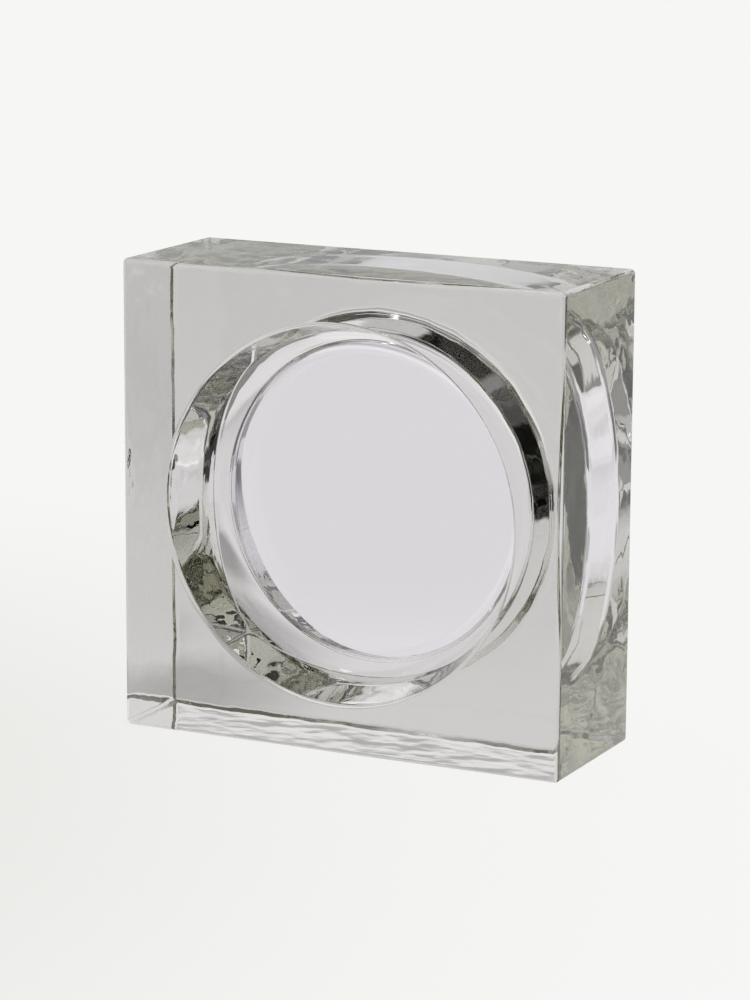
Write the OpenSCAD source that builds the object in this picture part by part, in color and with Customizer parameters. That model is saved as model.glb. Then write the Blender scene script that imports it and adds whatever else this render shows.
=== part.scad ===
// Pressed solid-glass paver block, standing on one of its edges.
// One piece of clear glass: a square slab with rounded edges, and a round,
// flat-floored recess pressed into each broad face. The front (-Y) recess is
// the deeper one, with a wide hollow round its floor; the back (+Y) one has a
// softer lip and a tighter hollow. A web of glass stays between the floors.
// X runs across, Y through the thickness and Z up; the origin is at the
// centre of the edge that the block stands on.

/* [Block] */
// Width, side to side
block_w = 190; // [140:5:300]
// Height as it stands
block_h = 190; // [140:5:300]
// Thickness, front face to back face
block_t = 70; // [56:1:120]
// Radius of the rounding along every outer edge
edge_r = 2; // [1:0.5:5]

/* [Front recess] */
// Least glass between the recess's mouth and the block's nearest side
front_side_glass = 20; // [12:0.5:35]
// Depth from the front face to the recess's floor
front_depth = 26.5; // [20:0.5:32]
// Slope of the recess's wall, in degrees from straight in
front_draft = 12.5; // [2:0.5:15]
// Radius of the rolled lip where the wall meets the front face
front_lip_r = 2; // [1:0.5:4]
// Radius of the hollow where the wall meets the floor
front_hollow_r = 12.5; // [4:0.5:15]

/* [Back recess] */
// Least glass between the recess's mouth and the block's nearest side
back_side_glass = 21; // [12:0.5:35]
// Depth from the back face to the recess's floor
back_depth = 24.5; // [18:0.5:29]
// Slope of the recess's wall, in degrees from straight in
back_draft = 9.5; // [2:0.5:15]
// Radius of the rolled lip where the wall meets the back face
back_lip_r = 4; // [1:0.5:6]
// Radius of the hollow where the wall meets the floor
back_hollow_r = 4.5; // [2:0.5:12]

/* [Hidden] */
$fn = 180;
// How far a recess's cutting shape runs out past its face
past = 5;
// The lip stops this far short of level, so it meets the face at an edge
lip_short = 0.02;
// How far the wall's line runs into the circles that it blends into
blend = 0.002;
// Radius that each wall's straight slope has at its face
least_half = min(block_w, block_h) / 2;
front_mouth_r = least_half - front_side_glass;
back_mouth_r = least_half - back_side_glass;

// A rectangle with round corners, from its own lower left corner
module round_rect(w, h, r) {
    translate([r, 0]) square([w - 2 * r, h]);
    translate([0, r]) square([w, h - 2 * r]);
    for (x = [r, w - r], y = [r, h - r])
        translate([x, y]) circle(r);
}

// The slab: its plan, front and side outlines run through one another
module slab() {
    intersection() {
        linear_extrude(block_h) round_rect(block_w, block_t, edge_r);
        translate([0, block_t, 0]) rotate([90, 0, 0]) linear_extrude(block_t)
            round_rect(block_w, block_h, edge_r);
        rotate([90, 0, 90]) linear_extrude(block_w) round_rect(block_t, block_h, edge_r);
    }
}

// A recess to cut away, round Z, sunk up from the face at z = 0. Its half
// section has the radius as x and the depth below the face as y.
module recess(mouth_r, depth, draft, lip_r, hollow_r) {
    // The direction square to the wall, out of the recess into the glass
    square_to_wall = [cos(draft), sin(draft)];
    lip_y = lip_r - lip_short;
    lip_centre = [mouth_r - lip_y * tan(draft) + lip_r / cos(draft), lip_y];
    lip_end = lip_centre - (lip_r - blend) * square_to_wall;
    hollow_y = depth - hollow_r;
    hollow_centre = [mouth_r - hollow_y * tan(draft) - hollow_r / cos(draft), hollow_y];
    hollow_start = hollow_centre + (hollow_r - blend) * square_to_wall;
    rotate_extrude() {
        difference() {
            // From the way out, down the wall from the end of the lip, and across the floor
            polygon([[0, -past], [lip_centre[0], -past], lip_centre, lip_end, hollow_start,
                [hollow_centre[0], depth], [0, depth]]);
            // The lip's round glass, rolled outward to the face
            translate(lip_centre) circle(lip_r);
        }
        translate(hollow_centre) circle(hollow_r);
    }
}

module glass_block() {
    color([0.82, 0.84, 0.83, 0.5])
        translate([-block_w / 2, -block_t / 2, 0])
            difference() {
                slab();
                translate([block_w / 2, 0, block_h / 2]) rotate([-90, 0, 0])
                    recess(front_mouth_r, front_depth, front_draft, front_lip_r, front_hollow_r);
                translate([block_w / 2, block_t, block_h / 2]) rotate([90, 0, 0])
                    recess(back_mouth_r, back_depth, back_draft, back_lip_r, back_hollow_r);
            }
}

glass_block();
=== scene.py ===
import math

import bpy
from mathutils import Matrix, Vector


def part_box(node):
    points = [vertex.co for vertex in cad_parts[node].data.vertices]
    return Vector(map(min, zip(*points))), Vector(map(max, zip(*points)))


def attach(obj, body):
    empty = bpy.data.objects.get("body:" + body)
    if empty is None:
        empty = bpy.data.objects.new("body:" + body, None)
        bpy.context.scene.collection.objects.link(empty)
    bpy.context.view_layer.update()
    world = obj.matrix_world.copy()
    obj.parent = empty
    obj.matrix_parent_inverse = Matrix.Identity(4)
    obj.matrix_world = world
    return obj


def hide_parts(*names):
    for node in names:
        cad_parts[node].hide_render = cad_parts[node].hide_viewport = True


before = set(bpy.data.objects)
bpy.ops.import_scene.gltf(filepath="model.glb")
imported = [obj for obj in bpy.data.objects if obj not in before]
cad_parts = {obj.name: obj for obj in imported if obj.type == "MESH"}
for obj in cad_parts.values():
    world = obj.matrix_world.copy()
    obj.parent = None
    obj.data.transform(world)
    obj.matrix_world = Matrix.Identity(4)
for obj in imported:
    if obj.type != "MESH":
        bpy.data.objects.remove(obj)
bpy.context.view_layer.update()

MM = 0.001

# ---------------------------------------------------------------- camera
# A long lens, a little above the block and to its right, so that the front,
# the right side and the top all show.
CAMERA_AZIMUTH = 26.02
CAMERA_ELEVATION = 11.89
CAMERA_ROLL = 0.35
CAMERA_DISTANCE = 1460 * MM
CAMERA_AIM = Vector((7.8, -16.9, 99.3)) * MM
CAMERA_LENS = 134.4

camera_data = bpy.data.cameras.new("camera")
camera_data.lens = CAMERA_LENS
camera_data.clip_start = 0.01
camera_data.clip_end = 100
camera = bpy.data.objects.new("camera", camera_data)
bpy.context.scene.collection.objects.link(camera)
camera.matrix_world = (
    Matrix.Translation(CAMERA_AIM)
    @ Matrix.Rotation(math.radians(CAMERA_AZIMUTH), 4, "Z")
    @ Matrix.Rotation(math.radians(90 - CAMERA_ELEVATION), 4, "X")
    @ Matrix.Rotation(math.radians(CAMERA_ROLL), 4, "Z")
    @ Matrix.Translation((0, 0, CAMERA_DISTANCE))
)
bpy.context.scene.camera = camera

# ---------------------------------------------------------------- glass block
# One piece of clear pressed glass. A gob of molten glass is pressed in a square
# mould with a round boss at each broad face, so each has a round recess, every
# edge is rounded and the outer faces keep a faint wave.
EDGE_R = 2 * MM
EDGE_STEPS = 8
FRONT_RECESS = {
    "mouth": 75 * MM,
    "depth": 26.5 * MM,
    "draft": 12.5,
    "lip": 2 * MM,
    "hollow": 12.5 * MM,
}
BACK_RECESS = {
    "mouth": 74 * MM,
    "depth": 24.5 * MM,
    "draft": 9.5,
    "lip": 4 * MM,
    "hollow": 4.5 * MM,
}
RING_POINTS = 192
ARC_STEPS = 12

low, high = (Vector(corner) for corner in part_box("glass_block"))
middle = (low + high) / 2
size = high - low


def recess_rings(mouth, depth, draft, lip, hollow):
    """Radius and depth of each ring of a recess, from the face in to the floor."""
    slope = math.radians(draft)
    lip_x = mouth - lip * math.tan(slope) + lip / math.cos(slope)
    hollow_y = depth - hollow
    hollow_x = mouth - hollow_y * math.tan(slope) - hollow / math.cos(slope)
    rings = []
    for step in range(ARC_STEPS + 1):
        turn = math.pi / 2 - (math.pi / 2 - slope) * step / ARC_STEPS
        rings.append((lip_x - lip * math.cos(turn), lip - lip * math.sin(turn)))
    for step in range(ARC_STEPS + 1):
        turn = slope + (math.pi / 2 - slope) * step / ARC_STEPS
        rings.append((hollow_x + hollow * math.cos(turn), hollow_y + hollow * math.sin(turn)))
    return rings


def pick_edges(piece, wanted):
    """Select, in edit mode, just the edges whose two ends both pass the test."""
    bpy.ops.object.mode_set(mode="EDIT")
    bpy.ops.mesh.select_mode(type="EDGE")
    bpy.ops.mesh.select_all(action="DESELECT")
    bpy.ops.object.mode_set(mode="OBJECT")
    points = piece.data.vertices
    for edge in piece.data.edges:
        edge.select = all(wanted(points[index].co) for index in edge.vertices)
    bpy.ops.object.mode_set(mode="EDIT")


def pick_faces(piece, wanted):
    """Select, in edit mode, just the faces that pass the test."""
    bpy.ops.object.mode_set(mode="EDIT")
    bpy.ops.mesh.select_mode(type="FACE")
    bpy.ops.mesh.select_all(action="DESELECT")
    bpy.ops.object.mode_set(mode="OBJECT")
    for face in piece.data.polygons:
        face.select = wanted(face)
    bpy.ops.object.mode_set(mode="EDIT")


bpy.ops.object.select_all(action="DESELECT")
bpy.ops.mesh.primitive_cube_add(size=1, location=middle, scale=size)
block = bpy.context.active_object
block.name = "pressed_glass_block"
bpy.ops.object.transform_apply(location=True, rotation=True, scale=True)
bpy.ops.object.mode_set(mode="EDIT")
bpy.ops.mesh.select_all(action="SELECT")
bpy.ops.mesh.bevel(offset=EDGE_R, offset_type="OFFSET", segments=EDGE_STEPS, profile=0.5)

MARGIN = 1 * MM
NEAR = 0.01 * MM
SET_BACK = 10 * MM
SQUARE_ON = 0.999
BROAD_AREA = 0.01
reach = Vector((size.x / 2 - EDGE_R - MARGIN, 0, size.z / 2 - EDGE_R - MARGIN))


def press_recess(face_y, inward, rings):
    """Sink a recess into one broad face; inward is +1 from the front, -1 from the back."""
    # The face opens on a square line just inside its edge, cut into as many
    # points as the recess's rings have.
    pick_faces(block, lambda face: face.normal.y * inward < -SQUARE_ON and face.area > BROAD_AREA)
    bpy.ops.mesh.inset(thickness=MARGIN, depth=0)
    bpy.ops.mesh.delete(type="ONLY_FACE")

    def on_square(point):
        x, z = abs(point.x - middle.x), abs(point.z - middle.z)
        inside = x < reach.x + NEAR and z < reach.z + NEAR
        on_line = x > reach.x - NEAR or z > reach.z - NEAR
        return abs(point.y - face_y) < NEAR and inside and on_line

    pick_edges(block, on_square)
    bpy.ops.mesh.subdivide(number_cuts=RING_POINTS // 4 - 1)
    set_back = SET_BACK * inward
    bpy.ops.mesh.primitive_circle_add(
        vertices=RING_POINTS, radius=rings[0][0],
        location=(middle.x, face_y + set_back, middle.z), rotation=(math.pi / 2, 0, 0))

    def on_first_ring(point):
        across = math.hypot(point.x - middle.x, point.z - middle.z)
        return abs(across - rings[0][0]) < NEAR and abs(point.y - face_y - set_back) < NEAR

    # Bridged to the square line and brought level with it, the first ring is
    # the lip's outer edge. Each next ring is drawn in from the last, down the
    # wall and on to the floor.
    pick_edges(block, lambda point: on_square(point) or on_first_ring(point))
    bpy.ops.mesh.bridge_edge_loops()
    pick_edges(block, on_first_ring)
    bpy.ops.transform.translate(value=(0, -set_back, 0))
    for (radius, depth), (next_radius, next_depth) in zip(rings, rings[1:]):
        step = (next_depth - depth) * inward
        bpy.ops.mesh.extrude_region_move(TRANSFORM_OT_translate={"value": (0, step, 0)})
        share = next_radius / radius
        bpy.ops.transform.resize(value=(share, 1, share), center_override=(middle.x, 0, middle.z))
    bpy.ops.mesh.edge_face_add()
    bpy.ops.mesh.inset(thickness=MARGIN, depth=0)


press_recess(low.y, 1, recess_rings(**FRONT_RECESS))
press_recess(high.y, -1, recess_rings(**BACK_RECESS))
bpy.ops.mesh.select_all(action="SELECT")
bpy.ops.mesh.remove_doubles(threshold=NEAR / 10)
bpy.ops.mesh.normals_make_consistent(inside=False)
bpy.ops.object.mode_set(mode="OBJECT")
bpy.ops.object.shade_smooth()
block.modifiers.new("flat faces stay flat", "WEIGHTED_NORMAL").weight = 100
bpy.ops.object.modifier_apply(modifier="flat faces stay flat")


def linear(colour):
    """An sRGB hex colour as the linear values that the shaders take."""
    parts = [int(colour[place:place + 2], 16) / 255 for place in (1, 3, 5)]
    return [part / 12.92 if part <= 0.04045 else ((part + 0.055) / 1.055) ** 2.4 for part in parts] + [1]


def add_node(tree, kind, settings=None, **links):
    """Add a shader node, set its values and link its inputs."""
    node = tree.nodes.new(kind)
    for name, value in (settings or {}).items():
        if name in node.inputs:
            node.inputs[name].default_value = value
        else:
            setattr(node, name, value)
    for name, source in links.items():
        tree.links.new(source, node.inputs[name.replace("_", " ")])
    return node


# Soda-lime glass, pressed and fire-polished. It is clear and glossy, with a
# grey-green cast where light has a long way to go. The chilled mould leaves
# waves a couple of centimetres long and a finer orange-peel ripple, so straight
# edges seen through it waver. The bosses are smoother, so the recesses are calm.
# Handling has taken the finest polish off in patches, too faint to look matt.
CLEAR_TINT = "#F9F6FD"
WAVE_LENGTH = 18 * MM
WAVE_HEIGHT = 0.45 * MM
CALM_WITHIN = 78 * MM
WAVY_BEYOND = 90 * MM
CALM_SHARE = 0.25
RIPPLE_LENGTH = 6 * MM
RIPPLE_HEIGHT = 0.02 * MM
WEAR_LENGTH = 22 * MM
WEAR_FROM = 0.5
WEAR_FULL = 0.75
WEAR_ROUGHNESS = 0.035
GLASS_IOR = 1.52
DEPTH_COLOUR = "#A0A173"
DEPTH_DENSITY = 6.0

glass = bpy.data.materials.new("clear_pressed_soda_lime_glass")
glass.use_nodes = True
tree = glass.node_tree
tree.nodes.clear()
place = add_node(tree, "ShaderNodeTexCoord").outputs["Object"]
waves = add_node(tree, "ShaderNodeTexNoise", {"Scale": 1 / WAVE_LENGTH, "Detail": 1.5}, Vector=place)
ripple = add_node(tree, "ShaderNodeTexNoise", {"Scale": 1 / RIPPLE_LENGTH, "Detail": 1.0}, Vector=place)
from_axis = add_node(
    tree, "ShaderNodeVectorMath", {"operation": "MULTIPLY_ADD"}, Vector=place)
from_axis.inputs[1].default_value = (1, 0, 1)
from_axis.inputs[2].default_value = (-middle.x, 0, -middle.z)
radius = add_node(
    tree, "ShaderNodeVectorMath", {"operation": "LENGTH"}, Vector=from_axis.outputs["Vector"])
wave_share = add_node(
    tree, "ShaderNodeMapRange",
    {"From Min": CALM_WITHIN, "From Max": WAVY_BEYOND, "To Min": CALM_SHARE, "To Max": 1.0},
    Value=radius.outputs["Value"])
wavy = add_node(
    tree, "ShaderNodeBump", {"Distance": WAVE_HEIGHT},
    Height=waves.outputs["Fac"], Strength=wave_share.outputs["Result"])
surface = add_node(
    tree, "ShaderNodeBump", {"Strength": 1.0, "Distance": RIPPLE_HEIGHT},
    Height=ripple.outputs["Fac"], Normal=wavy.outputs["Normal"])
wear = add_node(tree, "ShaderNodeTexNoise", {"Scale": 1 / WEAR_LENGTH, "Detail": 4.0}, Vector=place)
roughness = add_node(
    tree, "ShaderNodeMapRange",
    {"From Min": WEAR_FROM, "From Max": WEAR_FULL, "To Min": 0.0, "To Max": WEAR_ROUGHNESS},
    Value=wear.outputs["Fac"])
shader = add_node(
    tree, "ShaderNodeBsdfPrincipled",
    {"Base Color": linear(CLEAR_TINT), "IOR": GLASS_IOR, "Transmission Weight": 1.0},
    Roughness=roughness.outputs["Result"], Normal=surface.outputs["Normal"])
depth_tint = add_node(
    tree, "ShaderNodeVolumeAbsorption", {"Color": linear(DEPTH_COLOUR), "Density": DEPTH_DENSITY})
add_node(
    tree, "ShaderNodeOutputMaterial",
    Surface=shader.outputs["BSDF"], Volume=depth_tint.outputs["Volume"])
block.data.materials.append(glass)

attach(block, "root")
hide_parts("glass_block")

# ---------------------------------------------------------------- studio
# A plain pale floor that runs out of sight in a dim room. White, grey and black
# cards stand round the block and lie on the floor, out of the camera's sight,
# to give the clear glass its bright and dark edges.
REST_GAP = 0.2 * MM
FLOOR_SIZE = 60
FLOOR_GLOW = 1.12
GLOW_SHARE = 0.85
PAINTED_SHADE_REACH = 0.75
PAINTED_SHADE_CORNER = (0.55, 0.45, 0)

bpy.ops.object.select_all(action="DESELECT")
bpy.ops.mesh.primitive_plane_add(size=FLOOR_SIZE, location=(0, 0, -REST_GAP))
floor = bpy.context.active_object
floor.name = "studio_floor"

# Matt white paper, lit so evenly that most of its light is set as a glow.
# Painted shade makes it fall off to a soft grey at the near left corner.
paper = bpy.data.materials.new("studio_paper")
paper.use_nodes = True
tree = paper.node_tree
tree.nodes.clear()
where = add_node(tree, "ShaderNodeTexCoord").outputs["Object"]
# Painted shade: the paper's colour turns greyer towards the near left corner.
painted_shade_place = add_node(
    tree, "ShaderNodeMapping",
    {"Location": PAINTED_SHADE_CORNER, "Scale": (1 / PAINTED_SHADE_REACH, 1 / PAINTED_SHADE_REACH, 1)}, Vector=where)
painted_shade_corner = add_node(
    tree, "ShaderNodeTexGradient", {"gradient_type": "QUADRATIC_SPHERE"},
    Vector=painted_shade_place.outputs["Vector"])
shade = add_node(tree, "ShaderNodeValToRGB", Fac=painted_shade_corner.outputs["Fac"])
shade.color_ramp.elements[0].color = linear("#F7F7F5")
shade.color_ramp.elements[1].color = linear("#C2C0BB")
glow = add_node(
    tree, "ShaderNodeEmission", {"Strength": FLOOR_GLOW}, Color=shade.outputs["Color"])
matt = add_node(tree, "ShaderNodeBsdfDiffuse", Color=shade.outputs["Color"])
lit = add_node(tree, "ShaderNodeMixShader", {"Fac": GLOW_SHARE})
tree.links.new(matt.outputs["BSDF"], lit.inputs[1])
tree.links.new(glow.outputs["Emission"], lit.inputs[2])
add_node(tree, "ShaderNodeOutputMaterial", Surface=lit.outputs["Shader"])
floor.data.materials.append(paper)


def add_card(name, place, level, soft):
    """A card that glows evenly; one with a soft share is oval and fades at its edge."""
    bpy.ops.object.select_all(action="DESELECT")
    bpy.ops.mesh.primitive_plane_add(size=1)
    card = bpy.context.active_object
    card.name = name
    card.matrix_world = place
    finish = bpy.data.materials.new(name)
    finish.use_nodes = True
    tree = finish.node_tree
    tree.nodes.clear()
    clear = add_node(tree, "ShaderNodeBsdfTransparent")
    glow = add_node(tree, "ShaderNodeEmission", {"Color": (level, level, level, 1)})
    faded = add_node(tree, "ShaderNodeMixShader", {"Fac": 1.0})
    if soft:
        where = add_node(tree, "ShaderNodeTexCoord").outputs["Object"]
        doubled = add_node(tree, "ShaderNodeMapping", {"Scale": (2, 2, 2)}, Vector=where)
        to_edge = add_node(
            tree, "ShaderNodeTexGradient", {"gradient_type": "SPHERICAL"},
            Vector=doubled.outputs["Vector"])
        cover = add_node(
            tree, "ShaderNodeMapRange", {"interpolation_type": "SMOOTHSTEP", "From Max": soft},
            Value=to_edge.outputs["Fac"])
        tree.links.new(cover.outputs["Result"], faded.inputs[0])
    tree.links.new(clear.outputs["BSDF"], faded.inputs[1])
    tree.links.new(glow.outputs["Emission"], faded.inputs[2])
    add_node(tree, "ShaderNodeOutputMaterial", Surface=faded.outputs["Shader"])
    card.data.materials.append(finish)
    card.visible_camera = False
    card.visible_shadow = False
    card.visible_diffuse = False


def stand_card(name, azimuth, elevation, distance, wide, tall, level, soft=0):
    """Stand a card that faces the block; azimuth 0 is behind it, and sizes are the angles spanned."""
    turn = math.radians(azimuth)
    rise = math.radians(elevation)
    away = Vector((math.sin(turn) * math.cos(rise), math.cos(turn) * math.cos(rise), math.sin(rise)))
    centre = Vector((0, 0, middle.z)) + away * distance
    width = 2 * distance * math.tan(math.radians(wide / 2))
    height = 2 * distance * math.tan(math.radians(tall / 2))
    facing = away.to_track_quat("Z", "Y").to_matrix().to_4x4()
    add_card(
        name, Matrix.Translation(centre) @ facing @ Matrix.Diagonal((width, height, 1, 1)),
        level, soft)


def lay_card(name, azimuth, near, far, width, lift, level, soft=0):
    """Lay a card just over the floor, as a strip that runs away from the block."""
    turn = math.radians(azimuth)
    centre = Vector((math.sin(turn), math.cos(turn), 0)) * (near + far) / 2
    centre.z = lift - REST_GAP
    add_card(
        name,
        Matrix.Translation(centre) @ Matrix.Rotation(-turn, 4, "Z")
        @ Matrix.Diagonal((width, far - near, 1, 1)),
        level, soft)


# The large soft light behind the block, with brighter places in it.
stand_card("studio_back_light", -8, 17, 4.0, wide=96, tall=34, level=0.95)
stand_card("studio_back_glow", 8, 10, 3.6, wide=34, tall=26, level=1.15, soft=0.6)
stand_card("studio_left_glow", -28, 37, 3.6, wide=38, tall=50, level=1.10, soft=0.25)
stand_card("studio_low_glow", 34, -1, 3.4, wide=26, tall=8, level=1.15, soft=0.4)
stand_card("studio_grey_card", -24, 9, 3.0, wide=30, tall=12, level=0.58, soft=0.6)
stand_card("studio_top_light", -55, 55, 3.2, wide=84, tall=44, level=0.76, soft=0.2)
# The dark cards that give the recess walls their black arcs.
stand_card("studio_top_flag", 22, 62, 2.0, wide=40, tall=34, level=0.01, soft=0.2)
stand_card("studio_black_flag", 64, 8, 1.0, wide=28, tall=48, level=0.0, soft=0.12)
stand_card("studio_dim_flag", 58, 37, 1.2, wide=34, tall=18, level=0.10, soft=0.1)
# The softer light at the right and front, with a spark and two dark cards in it.
stand_card("studio_side_light", 122, 26, 2.2, wide=52, tall=44, level=0.60, soft=0.15)
stand_card("studio_spark", 138, 30, 1.6, wide=8, tall=8, level=1.60, soft=0.6)
stand_card("studio_small_flag", 143, 39, 1.4, wide=16, tall=14, level=0.0, soft=0.1)
stand_card("studio_front_flag", 128, -4, 0.7, wide=52, tall=15, level=0.02, soft=0.15)
stand_card("studio_left_flag", -112, 30, 0.9, wide=30, tall=90, level=0.07, soft=0.2)
stand_card("studio_low_flag", -68, -3, 0.9, wide=30, tall=18, level=0.06, soft=0.3)
stand_card("studio_key_strip", -115, 64, 1.8, wide=30, tall=10, level=6.0, soft=0.3)
stand_card("studio_front_light", -174, 34, 2.0, wide=84, tall=62, level=0.88, soft=0.15)
# What the glass shows of the floor: even white, darker at the right and in
# front, and shaded close to the block. Each lies at one of four heights.
ON_FLOOR = REST_GAP * 0.25
LOW = REST_GAP * 0.4
MID = REST_GAP * 0.5
TOP = REST_GAP * 0.6
lay_card("studio_floor_fill", 0, -6, 6, 12, ON_FLOOR, level=0.86)
lay_card("studio_dark_strip", 64, 0.42, 2.5, 0.24, MID, level=0.0, soft=0.1)
lay_card("studio_contact_shade", -62, 0.03, 0.21, 0.13, MID, level=0.56, soft=0.8)
lay_card("studio_dim_strip", -44, 0.5, 4.5, 1.3, MID, level=0.68, soft=0.8)
lay_card("studio_side_shade", 24, 0.30, 1.5, 0.6, LOW, level=0.76, soft=0.6)
lay_card("studio_near_patch", -60, 0.16, 0.36, 0.16, TOP, level=0.40, soft=0.6)
lay_card("studio_front_patch", -156, 0.06, 1.8, 0.9, MID, level=0.03, soft=0.25)

# The room is dim, and pale where the floor ends.
ROOM_LEVEL = 0.28
world = bpy.data.worlds.new("studio")
world.use_nodes = True
tree = world.node_tree
tree.nodes.clear()
seen = add_node(tree, "ShaderNodeLightPath").outputs["Is Camera Ray"]
room = add_node(
    tree, "ShaderNodeBackground", {"Color": (ROOM_LEVEL, ROOM_LEVEL, ROOM_LEVEL, 1)})
pale = add_node(tree, "ShaderNodeBackground", {"Color": linear("#F7F7F5")})
both = add_node(tree, "ShaderNodeMixShader", Fac=seen)
tree.links.new(room.outputs["Background"], both.inputs[1])
tree.links.new(pale.outputs["Background"], both.inputs[2])
add_node(tree, "ShaderNodeOutputWorld", Surface=both.outputs["Shader"])
scene = bpy.context.scene
scene.world = world
scene.view_settings.view_transform = "Standard"
scene.cycles.max_bounces = 32
scene.cycles.transmission_bounces = 32
scene.cycles.glossy_bounces = 16
